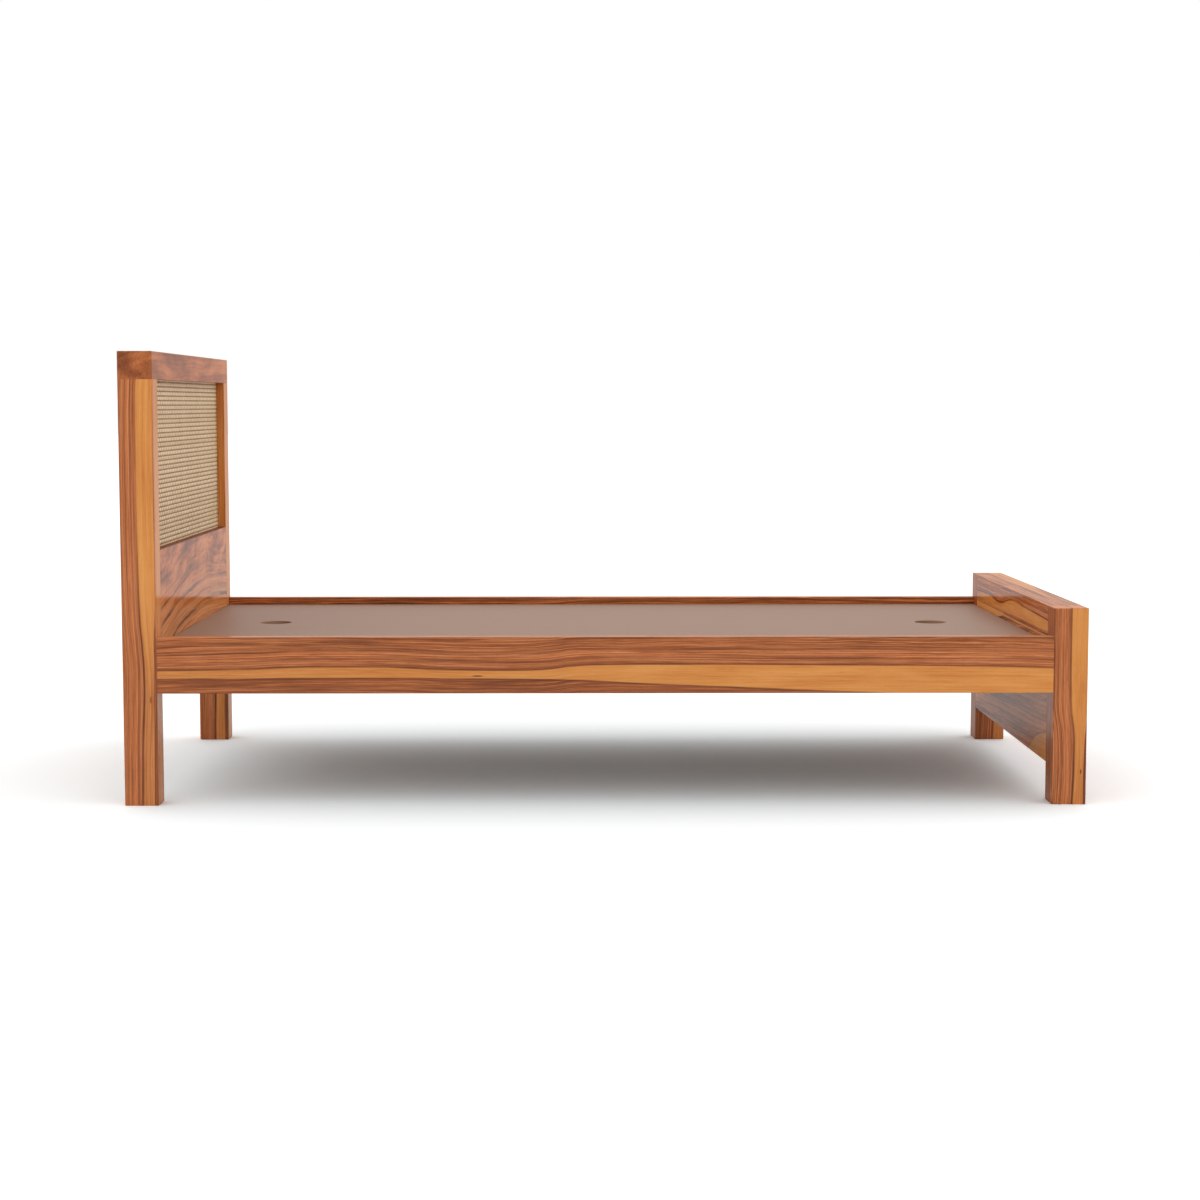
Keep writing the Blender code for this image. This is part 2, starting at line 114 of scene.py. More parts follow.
class CaneBedTimber(bpy.types.PropertyGroup):
    """Tones and finish of the rosewood, and tones of the softwood, ply and beech"""

    line_dark: colour("Dark line", "Thin growth lines and the heartwood's edge", (98, 50, 26))
    heart_deep: colour("Deep heart", "Darkest bands of the heartwood", (130, 67, 38))
    heart_brown: colour("Brown heart", "Middle tone of the heartwood", (179, 101, 54))
    heart_red: colour("Red heart", "Light bands of the heartwood", (217, 130, 77))
    heart_salmon: colour("Salmon heart", "Bright streaks of the heartwood", (230, 150, 98))
    sap_deep: colour("Deep sapwood", "Darker streaks of the sapwood", (198, 118, 54))
    sap_honey: colour("Honey sapwood", "Middle tone of the sapwood", (222, 143, 71))
    sap_pale: colour("Pale sapwood", "Lightest streaks of the sapwood", (232, 161, 87))
    lacquer: share("Lacquer", "How much the lacquer mirrors", 0.34)
    lacquer_haze: share("Lacquer haze", "Roughness of the lacquer", 0.11)
    wander: size("Wander", "How far a growth line strays along a board", 0.016)
    softwood_pale: colour("Pale softwood", "Early wood of battens and ledgers", (186, 148, 102))
    softwood_dark: colour("Dark softwood", "Late wood of battens and ledgers", (152, 110, 68))
    ply_brown: colour("Ply stain", "Stained ply behind the cane", (66, 42, 23))
    ply_dark: colour("Ply stain streaks", "Darker streaks in the stained ply", (46, 28, 16))
    beech_pale: colour("Beech", "Turned dowels", (210, 176, 132))
    beech_fleck: colour("Beech fleck", "Short flecks in the dowels", (176, 132, 90))


class CaneBedWeave(bpy.types.PropertyGroup):
    """Sizes and tones of the woven cane"""

    row_pitch: size("Row pitch", "Height from one weft strand to the next", 0.01052)
    first_row: size("First row", "How far the top weft strand that shows lies under the cap", 0.0101)
    column_pitch: size("Column pitch", "Width from one warp strand to the next", 0.0105)
    weft_width: size("Weft width", "Width of the strands that run across the bed", 0.0074)
    warp_width: size("Warp width", "Width of the upright strands", 0.0037)
    strand_thickness: size("Strand thickness", "Thickness of a split cane strand", 0.0006)
    cane_pale: colour("Pale cane", "Lightest strands", (245, 218, 178))
    cane_tan: colour("Tan cane", "Darkest strands", (215, 180, 134))
    # The warp is set darker than the weft as painted shade, for the warps seen in the gaps between rows
    warp_pale: colour("Pale warp", "Lightest upright strands", (232, 197, 151))
    warp_tan: colour("Tan warp", "Darkest upright strands", (198, 157, 110))


class CaneBedBoard(bpy.types.PropertyGroup):
    """Tones of the platform board and of the metal fittings"""

    laminate: colour("Laminate", "Flat face of the platform board", (164, 130, 110))
    laminate_fleck: colour("Laminate fleck", "Fine mottle in the face", (154, 120, 100))
    core: colour("Core", "Cut edges and finger holes of the board", (168, 130, 98))
    backing: colour("Backing", "Dark film under the board", (70, 48, 36))
    backing_cloud: colour("Backing cloud", "Darker clouds in that film", (54, 36, 26))
    zinc: colour("Zinc", "Plated bolts, nuts and screws", (176, 176, 172))
    zinc_mark: colour("Zinc marks", "Turning marks in the plating", (140, 140, 138))


class CaneBedStage(bpy.types.PropertyGroup):
    """Camera, sky and floor"""

    camera_place: FloatVectorProperty(name="Camera place", description="Where the camera stands", size=3,
                                      subtype="XYZ", unit="LENGTH", default=(-0.05425, -5.40245, 0.89127))
    camera_pitch: FloatProperty(name="Camera pitch", description="How far the camera looks down",
                                subtype="ANGLE", default=0.0883)
    camera_yaw: FloatProperty(name="Camera yaw", description="How far the camera turns to the foot",
                              subtype="ANGLE", default=0.0083)
    camera_lens: FloatProperty(name="Lens", description="Focal length for a 36 mm sensor, in millimetres",
                               unit="CAMERA", min=1, default=66.553)
    sky_level: FloatProperty(name="Sky level", description="Strength of the even white sky", min=0,
                             default=1.0)
    floor_white: FloatVectorProperty(name="Floor white", description="Floor as the camera sees it", size=3,
                                     subtype="COLOR", min=0, max=2, default=(1.185, 1.245, 1.26))
    floor_bounce: share("Floor bounce", "How much light the floor sends back", 0.75)
    floor_reach: size("Floor reach", "Half the width of the floor", 60.0)


# Node sheets

class Wire:
    """A node's output that Python arithmetic can use: each operator adds a Math node."""

    def __init__(self, sheet, socket):
        self.sheet = sheet
        self.socket = socket

    def math(self, operation, *values):
        """Add a Math node."""
        return self.sheet.node("ShaderNodeMath", {"operation": operation}, dict(enumerate(values)))

    def __add__(self, other):
        return self.math("ADD", self, other)

    __radd__ = __add__

    def __sub__(self, other):
        return self.math("SUBTRACT", self, other)

    def __rsub__(self, other):
        return self.math("SUBTRACT", other, self)

    def __mul__(self, other):
        return self.math("MULTIPLY", self, other)

    __rmul__ = __mul__

    def __truediv__(self, other):
        return self.math("DIVIDE", self, other)

    def __abs__(self):
        return self.math("ABSOLUTE", self)

    def least(self, other):
        """The smaller of two values."""
        return self.math("MINIMUM", self, other)

    def most(self, other):
        """The larger of two values."""
        return self.math("MAXIMUM", self, other)

    def whole(self):
        """The value rounded down."""
        return self.math("FLOOR", self)

    def rise(self, low, high):
        """0 below low, 1 above high and a smooth step between."""
        return self.sheet.node("ShaderNodeMapRange", {"interpolation_type": "SMOOTHSTEP"},
                               {0: self, 1: low, 2: high, 3: 0.0, 4: 1.0})

    def bell(self, width):
        """1 where the value is 0, falling to 0 at a width on both sides."""
        return 1 - abs(self).rise(0.0, width)


class NodeSheet:
    """A node tree, with one method that adds any node to it."""

    def __init__(self, tree):
        self.tree = tree
        self.tree.nodes.clear()

    def node(self, kind, settings, sockets, output=0):
        """Add a node: its settings first, then the values or wires of its sockets."""
        made = self.tree.nodes.new(kind)
        for name, value in settings.items():
            if name == "stops":
                self.set_stops(made.color_ramp, value)
            elif name == "points":
                self.set_points(made.mapping, value)
            else:
                setattr(made, name, value)
        for name, value in sockets.items():
            if isinstance(value, Wire):
                self.tree.links.new(value.socket, made.inputs[name])
            else:
                made.inputs[name].default_value = value
        return None if output is None else Wire(self, made.outputs[output])

    @staticmethod
    def set_stops(ramp, stops):
        """Give a colour ramp its stops, as places and linear colours."""
        while len(ramp.elements) < len(stops):
            ramp.elements.new(1.0)
        for element, (place, tone) in zip(ramp.elements, stops):
            element.position = place
            element.color = (*tone, 1.0)

    @staticmethod
    def set_points(mapping, points):
        """Give a float curve its points."""
        line = mapping.curves[0]
        while len(line.points) < len(points):
            line.points.new(1.0, 1.0)
        for point, place in zip(line.points, points):
            point.location = place
        mapping.update()

    def place(self):
        """The three coordinates of a point on the piece, in metres."""
        where = self.node("ShaderNodeTexCoord", {}, {}, "Object")
        return [self.node("ShaderNodeSeparateXYZ", {}, {0: where}, axis) for axis in "XYZ"]

    def noise(self, vector, detail=2.0, roughness=0.5):
        """Smooth noise from 0 to 1 over three scaled coordinates."""
        where = self.node("ShaderNodeCombineXYZ", {}, dict(enumerate(vector)))
        return self.node("ShaderNodeTexNoise", {"noise_dimensions": "3D"},
                         {"Vector": where, "Scale": 1.0, "Detail": detail, "Roughness": roughness})

    def bands(self, across, detail=2.0, roughness=0.5):
        """Smooth noise from 0 to 1 over one scaled coordinate."""
        return self.node("ShaderNodeTexNoise", {"noise_dimensions": "1D"},
                         {"W": across, "Scale": 1.0, "Detail": detail, "Roughness": roughness})

    def chance(self, number):
        """A random value from 0 to 1 for each whole number."""
        return self.node("ShaderNodeTexWhiteNoise", {"noise_dimensions": "1D"}, {"W": number})

    def line(self, along, points):
        """A smooth line through points: how high it lies at a place along it."""
        starts, heights = zip(*points)
        first, run = starts[0], starts[-1] - starts[0]
        low, rise = min(heights), max(heights) - min(heights)
        shape = [((start - first) / run, (height - low) / rise) for start, height in points]
        curve = self.node("ShaderNodeFloatCurve", {"points": shape}, {1: (along - first) / run})
        return curve * rise + low

    def mark(self, along, across, middle, height, reach, width):
        """A long soft spot: 1 at its middle and 0 past its reach and width."""
        run = (along - middle) / reach
        rise = (across - height) / width
        return 1 - (run * run + rise * rise).rise(0.1, 1.0)

    def ramp(self, value, stops):
        """A colour read from a ramp."""
        return self.node("ShaderNodeValToRGB", {"stops": stops}, {0: value})

    def mix(self, amount, first, second):
        """One colour over another."""
        sockets = {0: amount, 6: as_colour(first), 7: as_colour(second)}
        return self.node("ShaderNodeMix", {"data_type": "RGBA"}, sockets, 2)


def as_colour(tone):
    """A wire as it is, or a plain colour with its alpha."""
    return tone if isinstance(tone, Wire) else (*tone, 1.0)


class Finish(NodeSheet):
    """A material's node sheet."""

    def __init__(self, name):
        self.material = bpy.data.materials.new(name)
        self.material.use_nodes = True
        super().__init__(self.material.node_tree)

    def close(self, height=None, depth=0.0, **sockets):
        """Join the shader to the output, with a fine relief where a height is given."""
        if height:
            sockets["Normal"] = self.node("ShaderNodeBump", {}, {"Strength": 0.5, "Distance": depth,
                                                                 "Height": height})
        shader = self.node("ShaderNodeBsdfPrincipled", {}, {name.replace("_", " "): value for name, value
                                                            in sockets.items()})
        return self.join(shader)

    def join(self, shader):
        """Join a shader to the material's output."""
        self.node("ShaderNodeOutputMaterial", {}, {0: shader}, None)
        return self.material


# What a lay says of each point, in metres or as strengths:
# along, ring, through: places along the grain, across the rings and into the piece
# sap, rim: how far the point is past the sapwood's edge, and past the dark rim where that lies elsewhere
# honey, edging, lines, hairs, grain, clouds: strengths of the sapwood, of the rim and of each kind of figure
# shade: how much lighter the wood is, partly its own tone and partly painted light and shade
# marks: how much of the dark line's colour lies over it
Growth = namedtuple("Growth", "along ring through sap rim honey edging lines hairs grain clouds shade marks",
                    defaults=(None, None, 1.0, 0.75, 1.0, 0.5, 1.0, 0.3, 0.0, None))


def rosewood(name, seed, lay, strays=1.0):
    """Lacquered rosewood: streaked heartwood, thin dark lines, pores and honey sapwood past its edge."""
    timber = bpy.context.scene.cane_bed_timber
    s = Finish(name)
    grown = lay(s, *s.place())
    along, through = grown.along, grown.through
    drift = s.noise((along * 1.4 + seed, grown.ring * 11, through * 11), 1.0) - 0.5
    ripple = s.noise((along * 7 + seed, grown.ring * 60, through * 60), 2.0) - 0.5
    ring = grown.ring + drift * (timber.wander * strays) + ripple * 0.003
    broad = s.bands(ring * 48 + seed, 1.0) - 0.5
    mid = s.bands(ring * 150 + seed * 3, 2.0) - 0.5
    streak = s.noise((along * 3 + seed, ring * 210, through * 210), 3.0, 0.65) - 0.5
    fleck = s.noise((along * 18, ring * 560, through * 560), 2.0) - 0.5
    cloud = s.noise((along * 5 + seed, ring * 30, through * 30), 2.0) - 0.5
    figure = (broad * 0.4 + mid * 0.8 + streak * 1.4 + fleck * 0.8) * grown.grain
    tone = figure + cloud * grown.clouds + grown.shade + 0.5
    heart = s.ramp(tone, [(0.12, timber.heart_deep), (0.45, timber.heart_brown), (0.72, timber.heart_red),
                          (0.98, timber.heart_salmon)])
    gate = s.noise((along * 2.5 + seed, ring * 70, through * 70), 2.0).rise(0.40, 0.60)
    growth = (s.bands(ring * 60 + seed * 5, 1.0) - 0.5).bell(0.09) * gate
    growth = growth.most((s.bands(ring * 150 + seed * 7, 1.0) - 0.5).bell(0.10) * gate * 0.7)
    hair = (s.bands(ring * 260 + seed * 9, 1.0) - 0.5).bell(0.12) * (1 - gate * 0.6) * grown.hairs
    heart = s.mix((growth * grown.lines).most(hair) * 0.75, heart, timber.line_dark)
    pores = s.noise((along * 70, ring * 1500, through * 1500), 1.0).rise(0.60, 0.72)
    wood = s.mix(pores * 0.35, heart, timber.line_dark)
    if grown.sap:
        sap_tone = mid * 0.4 + streak * 0.6 + fleck * 0.6 + cloud * 0.8 + grown.shade * 0.5 + 0.5
        honey = s.ramp(sap_tone, [(0.15, timber.sap_deep), (0.5, timber.sap_honey), (0.85, timber.sap_pale)])
        edge = grown.sap + ripple * 0.002
        honey = s.mix(pores * 0.15, honey, timber.line_dark)
        wood = s.mix(edge.rise(-0.0006, 0.001) * grown.honey, wood, honey)
        rim = edge if grown.rim is None else grown.rim + ripple * 0.002
        broken = s.noise((along * 5 + seed, ring * 20, through * 20), 2.0).rise(0.35, 0.62) * 0.65 + 0.35
        wood = s.mix((rim + 0.0014).bell(0.0042) * grown.edging * broken, wood, timber.line_dark)
    if grown.marks:
        wood = s.mix(grown.marks, wood, timber.line_dark)
    return s.close(height=tone - pores * 0.4, depth=0.0003, Base_Color=wood,
                   Roughness=cloud * 0.3 + pores * 0.2 + 0.5, Specular_IOR_Level=0.0,
                   Coat_Weight=timber.lacquer - pores * 0.1, Coat_Roughness=timber.lacquer_haze)


def dress(finish, *nodes):
    """Give pieces of the frame a finish in place of their plain one."""
    for node in nodes:
        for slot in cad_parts[node].material_slots:
            slot.material = finish


# How the timber grew in each piece, in metres

def head_post_lay(mirror, shade, leg_honey):
    """Growth of a head post: lined heart behind, honey in front, slivers of heart on the front corners."""
    def lay(s, x, y, z):
        depth = y * mirror - NEAR_SIDE
        edge = s.line(z, [(0.0, -1.0275), (0.05, -1.0268), (0.15, -1.0245), (0.22, -1.0218), (0.275, -1.021),
                          (0.35, -1.024), (0.46, -1.030), (0.745, -1.033), (0.945, -1.029)])
        corner = s.line(z, [(0.0, -1.004), (0.24, -1.002), (0.37, -1.0), (0.48, -0.9965), (0.945, -0.9955)])
        ring = x - edge
        sliver = (x - corner).rise(0.0, 0.001)
        # Painted sheen: the face towards the foot is painted lighter
        front = (x - HEAD_FACE + EASED).rise(0.0, 0.001)
        sap = ring.least((corner - x).most((depth - 0.017).least(POST_DEPTH - 0.006 - depth)))
        # Painted shade: the inner face has less honey, and its upper part is darker, where it lines the
        # cane's recess
        inner = (depth - POST_DEPTH + 0.004).rise(0.0, 0.003)
        honey = (z.rise(0.15, 0.55) * (1 - leg_honey) + leg_honey) * (1 - sliver * 0.35 - inner * 0.3)
        leg = 1 - z.rise(0.38, 0.5)
        stray = (s.noise((z * 4 + shade, x * 20, depth * 20), 2.0) - 0.5) * 0.006
        lined = ((ring + stray + depth * 0.4 + 0.0125).bell(0.0028) * 0.42).most(
            (ring + stray * 1.5 + depth * 0.4 + 0.0245).bell(0.003) * 0.26)
        lined = lined.most((ring + 0.003).bell(0.004) * (1 - z.rise(0.18, 0.26)) * 0.75)
        spot = s.mark(z, x, 0.237, -1.0088, 0.010, 0.0028) * 0.6
        marks = spot.most(sliver * inner.most(leg * 0.9) * 0.6 * (1 - front)).most(lined)
        return Growth(z, ring + y * mirror * 0.5, depth, sap, ring, honey, lines=0.4, hairs=0.7, grain=0.7,
                      edging=0.95 - z.rise(0.4, 0.6) * 0.5,
                      shade=shade + front * 0.32 - z.rise(0.5, 0.7) * (inner * 0.12 + 0.05), marks=marks)
    return lay


def foot_post_lay(mirror, shade, top_honey):
    """Growth of a foot post: heart on the mattress side, honey outside, heart low on the corner."""
    def lay(s, x, y, z):
        side = y * mirror
        edge = s.line(z, [(0.0, 1.040), (0.126, 1.043), (0.236, 1.034), (0.44, 1.033)])
        corner = s.line(z, [(0.0, 1.0635), (0.12, 1.0645), (0.17, 1.067), (0.21, 1.072), (0.44, 1.080)])
        front = s.line(z, [(0.0, -0.506), (0.12, -0.510), (0.22, -0.520), (0.44, -0.530)])
        sap = (x - edge).least((corner - x).most(side - front))
        # Painted sheen: the top face is a little lighter; it also has less figure
        top = (z - FOOT_TOP + 0.003).rise(0.0, 0.002)
        honey = (z.rise(-0.1, 0.3) * 0.6 + 0.4) * (1 - top * (1 - top_honey))
        # Painted shade: the face towards the mattress is set darker
        inner = 1 - (x - FOOT_FACE).rise(0.0, 0.004)
        sliver = (x - corner).rise(0.0, 0.001) * (front - side).rise(0.0, 0.002)
        return Growth(z, x - edge + side * 0.5, side, sap, x - edge, honey, lines=0.7 - top * 0.4,
                      hairs=0.8 - top * 0.7, grain=0.85 - top * 0.4,
                      edging=0.95 - z.rise(0.15, 0.3) * 0.25,
                      shade=shade - inner * (shade + 0.06) - sliver * 0.5 + top * 0.1,
                      marks=s.mark(z, x, 0.074, 1.058, 0.007, 0.0018))
    return lay


def side_rail_lay(mirror, shade):
    """Growth of a side rail: a honey band low on its outer face that opens to the foot."""
    def lay(s, x, y, z):
        depth = y * mirror - NEAR_SIDE
        top = s.line(x, [(-0.994, 0.302), (-0.79, 0.305), (-0.59, 0.310), (-0.35, 0.303), (-0.22, 0.302),
                         (-0.08, 0.311), (0.05, 0.315), (0.43, 0.314), (0.994, 0.306)])
        foot = s.line(x, [(-0.994, 0.284), (-0.17, 0.283), (0.097, 0.273), (0.34, 0.263), (0.586, 0.253),
                          (0.994, 0.232)])
        sap = (top - z - depth * 0.6).least(z - foot)
        flame = (s.noise((x * 5, z * 30, depth * 30), 2.0) - 0.5) * (z - 0.335).rise(0.0, 0.04) * 0.02
        smudge = s.mark(x, z, -0.575, 0.3655, 0.095, 0.0065).most(s.mark(x, z, -0.69, 0.3595, 0.06, 0.005))
        smudge = smudge.most(s.mark(x, z, -0.82, 0.3615, 0.1, 0.006))
        marks = (smudge * 0.5).most(s.mark(x, z, -0.285, 0.290, 0.016, 0.0018))
        worn = s.noise((x * 4, z * 20, depth * 20), 2.0).rise(0.35, 0.6)
        marks = marks.most((z - RAIL_TOP + 0.0032).bell(0.0028) * worn * 0.5)
        low = (foot - z).rise(0.0, 0.006)
        # Painted sheen: the top face of the rail is lighter
        painted_crest_sheen = (z - RAIL_TOP + EASED).rise(0.0, 0.001)
        return Growth(x, z - top + depth * 0.6 + flame, depth, sap, honey=x.rise(-1.4, 0.4) * 0.4 + 0.6,
                      edging=0.75 - x.rise(0.3, 0.9) * 0.4, lines=0.95 - x.rise(-0.4, 0.6) * 0.35, hairs=0.9,
                      shade=shade - low * 0.11 + painted_crest_sheen * 0.3, marks=marks)
    return lay


def head_panel_lay(s, x, y, z):
    """Growth of the panel under the cane: an arch of sweeping lines, with flames above and honey below."""
    arch = s.line(y, [(-0.46, 0.0), (-0.35, 0.022), (-0.25, 0.038), (-0.15, 0.050), (0.0, 0.061),
                      (0.12, 0.069), (0.28, 0.068), (0.46, 0.057)])
    above = (z - 0.40).rise(0.0, 0.12)
    sway = (s.noise((y * 2.5, z * 5, x * 5), 1.0) - 0.5) * 0.2
    ring = z - arch + sway * above * 0.5
    flame = s.noise((y * 6, (z - y * 0.16 + sway * 0.2) * 20, x * 14), 4.0, 0.65) - 0.5
    jitter = (s.noise((y * 9, z * 40, x * 40), 3.0, 0.6) - 0.5) * 0.022
    worn = s.noise((y * 5 + 3, z * 30, x * 30), 2.0).rise(0.36, 0.58) * 0.7 + 0.3
    swept = (ring + jitter - 0.335).bell(0.008).most((ring + jitter - 0.394).bell(0.009))
    swept = swept.most((ring + jitter - 0.432).bell(0.007)) * worn
    # Painted shade: the panel's top face under the cane is darker
    painted_sill_shade = (z - HEAD_PANEL_TOP + 0.003).rise(0.0, 0.002) * 0.5
    glow = s.mark(y, z, -0.39, 0.432, 0.1, 0.03) * 0.3
    shade = flame * (above * 1.9 + 0.5) + 0.44 + above * (y * 0.16 - 0.44) - painted_sill_shade + glow
    # The whole panel counts as past the sapwood's edge, with a little honey low on it
    return Growth(y, ring * 0.5, x, sap=z, honey=(0.47 - z).rise(0.0, 0.08) * 0.2, edging=0.0,
                  lines=0.7 - above * 0.7, hairs=0.5 - above * 0.4, grain=1.1 - above * 0.8,
                  shade=shade, marks=swept * (0.9 - above * 0.5))


def cap_lay(s, x, y, z):
    """Growth of the cap: soft clouds without lines, and a dark blotch on its near end."""
    figure = (s.noise((y * 2.5, z * 8, x * 8), 1.0) - 0.5) * 0.03
    near_end = 1 - (y - NEAR_SIDE).rise(0.0, 0.004)
    blotch = s.mark(x, z, -1.034, 0.957, 0.026, 0.012).most(s.mark(x, z, -1.057, 0.982, 0.026, 0.034))
    top = (z - CAP_TOP + 0.004).rise(0.0, 0.003)
    shade = top * 0.07 - near_end * (blotch * 0.23 + 0.03) - 0.03
    return Growth(y, (z - x * 0.6) * 0.6 + figure, x, lines=top * 0.5 + 0.1, hairs=top * 0.5 + 0.1,
                  grain=top * 0.5 + 0.35, clouds=1.25 - near_end * 0.75 - top * 0.85, shade=shade)


def foot_rail_lay(s, x, y, z):
    """Growth of the footboard's top rail: a wavy edge with honey below it, and a honey strip on top."""
    edge = s.line(y, [(-0.458, 0.405), (-0.31, 0.408), (-0.16, 0.411), (-0.075, 0.414), (-0.028, 0.413),
                      (0.04, 0.406), (0.10, 0.397), (0.144, 0.3945), (0.20, 0.397), (0.254, 0.401),
                      (0.33, 0.4015), (0.458, 0.396)])
    face = edge - z - (x - FOOT_FACE) * 2
    strip_start = s.line(y, [(-0.458, 1.045), (-0.27, 1.041), (-0.10, 1.0375), (0.07, 1.035), (0.22, 1.032),
                             (0.458, 1.035)])
    strip_end = s.line(y, [(-0.458, 1.052), (-0.28, 1.0485), (-0.12, 1.0525), (0.10, 1.067), (0.458, 1.075)])
    strip = (x - strip_start).least(strip_end - x).least(z - FOOT_TOP + 0.02)
    inner = 1 - (x - FOOT_FACE).rise(0.0, 0.02)
    dusk = (1 - (z - edge).rise(0.004, 0.013)) * (y - 0.05).rise(0.0, 0.08) * inner
    bend = (edge - 0.405) * (1 - abs(z - edge).rise(0.0, 0.02))
    # Painted sheen: the top face is lighter, and has a little less honey
    top = (z - FOOT_TOP + 0.004).rise(0.0, 0.003)
    corner = (x - FOOT_END + 0.0045).rise(0.0, 0.002) * (0.1 - y).rise(0.0, 0.1) * top
    return Growth(y, z - bend + (x - FOOT_FACE) * 0.8, x, face.most(strip), hairs=0.7,
                  honey=(1 - (y - 0.15).rise(0.0, 0.3) * 0.35) * (1 - top * 0.35),
                  shade=top * 0.12 - dusk * 0.35 + 0.15, marks=corner * 0.6)


def foot_panel_lay(s, x, y, z):
    """Growth of the footboard's panel: a dark line under the rail, honey at the far top and near foot."""
    upper = s.line(y, [(-0.458, 0.40), (0.0, 0.39), (0.07, 0.374), (0.12, 0.361), (0.25, 0.350),
                       (0.458, 0.345)])
    lower = s.line(y, [(-0.458, 0.152), (-0.356, 0.133), (-0.263, 0.093), (-0.10, 0.040), (0.458, 0.0)])
    streak = 0.0027 - abs(z - 0.3682)
    sap = (z - upper).most(lower - z).most(streak)
    seam = (z - 0.3744).bell(0.0034) * (1 - (x - FOOT_FACE).rise(0.0, 0.01))
    return Growth(y, (z + y * 0.05 + x * 0.5) * 0.6, x, sap, honey=0.95, edging=0.5, lines=0.8, hairs=0.35,
                  grain=0.85, shade=(z - 0.34).rise(0.0, 0.02) * 0.15 + 0.15, marks=seam * 0.55)


def bead_lay(s, x, y, z):
    """Growth of the slim beads behind the cane."""
    return Growth(y + z, x + (y - z) * 0.02, x)


# The other finishes

def softwood(name, along, across):
    """Planed softwood with soft straight bands."""
    timber = bpy.context.scene.cane_bed_timber
    s = Finish(name)
    where = dict(zip("xyz", s.place()))
    ring = where[across] + where["z"] * 0.6
    ring = ring + (s.noise((where[along] * 2, ring * 14, 0.0), 1.0) - 0.5) * 0.02
    late = s.bands(ring * 130, 2.0).rise(0.42, 0.66)
    fibre = s.noise((where[along] * 18, where[across] * 700, where["z"] * 700), 2.0)
    tone = late * 0.7 + (fibre - 0.5) * 0.5
    wood = s.mix(tone, timber.softwood_pale, timber.softwood_dark)
    return s.close(height=tone, depth=0.0004, Base_Color=wood, Roughness=fibre * 0.2 + 0.6,
                   Specular_IOR_Level=0.3)


def stained_ply():
    """Stained ply with an upright veneer grain."""
    timber = bpy.context.scene.cane_bed_timber
    s = Finish("stained_ply")
    x, y, z = s.place()
    normal = s.node("ShaderNodeTexCoord", {}, {}, "Normal")
    facing = s.node("ShaderNodeSeparateXYZ", {}, {0: normal}, "X")
    streak = s.noise((y * 160, z * 6, x * 160), 3.0)
    stain = s.mix(streak.rise(0.35, 0.65), timber.ply_dark, timber.ply_brown)
    back = s.mix(streak.rise(0.3, 0.7), timber.heart_deep, timber.heart_brown)
    stain = s.mix((-1 * facing).rise(0.4, 0.6) * 0.6, stain, back)
    return s.close(height=streak, depth=0.0003, Base_Color=stain, Roughness=0.65, Specular_IOR_Level=0.2)


def split_cane(name, across, along, origin, pitch, pale, tan):
    """Natural split cane: each strand its own tone, with fine fibres along it."""
    s = Finish(name)
    where = dict(zip("xyz", s.place()))
    strand = s.chance(((where[across] - origin) / pitch + 0.5).whole())
    fibre = s.noise((where[along] * 30, where[across] * 2600, where["x"] * 2600), 2.0)
    patch = s.noise((where[along] * 9, where[across] * 90, 0.0), 1.0)
    tone = strand * 0.55 + (fibre - 0.5) * 0.5 + (patch - 0.5) * 0.5 + 0.1
    skin = s.mix(tone, pale, tan)
    return s.close(height=fibre, depth=0.0002, Base_Color=skin, Roughness=fibre * 0.2 + 0.42,
                   Specular_IOR_Level=0.35)


def taupe_laminate():
    """Flat laminate with a fine mottle, and the bare core on cut edges."""
    board = bpy.context.scene.cane_bed_board
    s = Finish("taupe_laminate")
    x, y, z = s.place()
    normal = s.node("ShaderNodeTexCoord", {}, {}, "Normal")
    upright = s.node("ShaderNodeSeparateXYZ", {}, {0: normal}, "Z")
    mottle = s.noise((x * 420, y * 1600, z * 900), 3.0)
    cloud = s.noise((x * 6, y * 6, z * 6), 2.0)
    face = s.mix(mottle * 0.7 + cloud * 0.3, board.laminate, board.laminate_fleck)
    chips = s.noise((x * 900, y * 900, z * 900), 2.0)
    core = s.mix(chips * 0.6, board.core, board.laminate_fleck)
    # Painted shade: the walls of the finger holes are darker towards the middle of the board
    dusk = (0.85 - abs(x)).rise(0.0, 0.09) * (0.06 - abs(y)).rise(0.0, 0.01)
    core = s.mix(dusk * 0.35, core, board.backing)
    skin = s.mix(upright.rise(0.55, 0.8), core, face)
    film = s.mix(cloud * 0.5, board.backing, board.backing_cloud)
    skin = s.mix((-1 * upright).rise(0.55, 0.8), skin, film)
    return s.close(height=mottle, depth=0.0001, Base_Color=skin, Roughness=mottle * 0.1 + 0.45,
                   Specular_IOR_Level=0.14)


def zinc_plate():
    """Dull zinc plating with fine turning marks."""
    board = bpy.context.scene.cane_bed_board
    s = Finish("zinc_plate")
    x, y, z = s.place()
    marks = s.noise((x * 2400, y * 300, z * 300), 2.0)
    tone = s.mix(marks * 0.4, board.zinc, board.zinc_mark)
    return s.close(height=marks, depth=0.0001, Base_Color=tone, Metallic=1.0, Roughness=marks * 0.25 + 0.25)


def turned_beech():
    """Plain beech with its short flecks."""
    timber = bpy.context.scene.cane_bed_timber
    s = Finish("turned_beech")
    x, y, z = s.place()
    fleck = s.noise((x * 120, y * 900, z * 900), 2.0).rise(0.5, 0.68)
    wood = s.mix(fleck * 0.7, timber.beech_pale, timber.beech_fleck)
    return s.close(height=fleck, depth=0.0002, Base_Color=wood, Roughness=0.6, Specular_IOR_Level=0.3)


# Steps, from the headboard to the stage

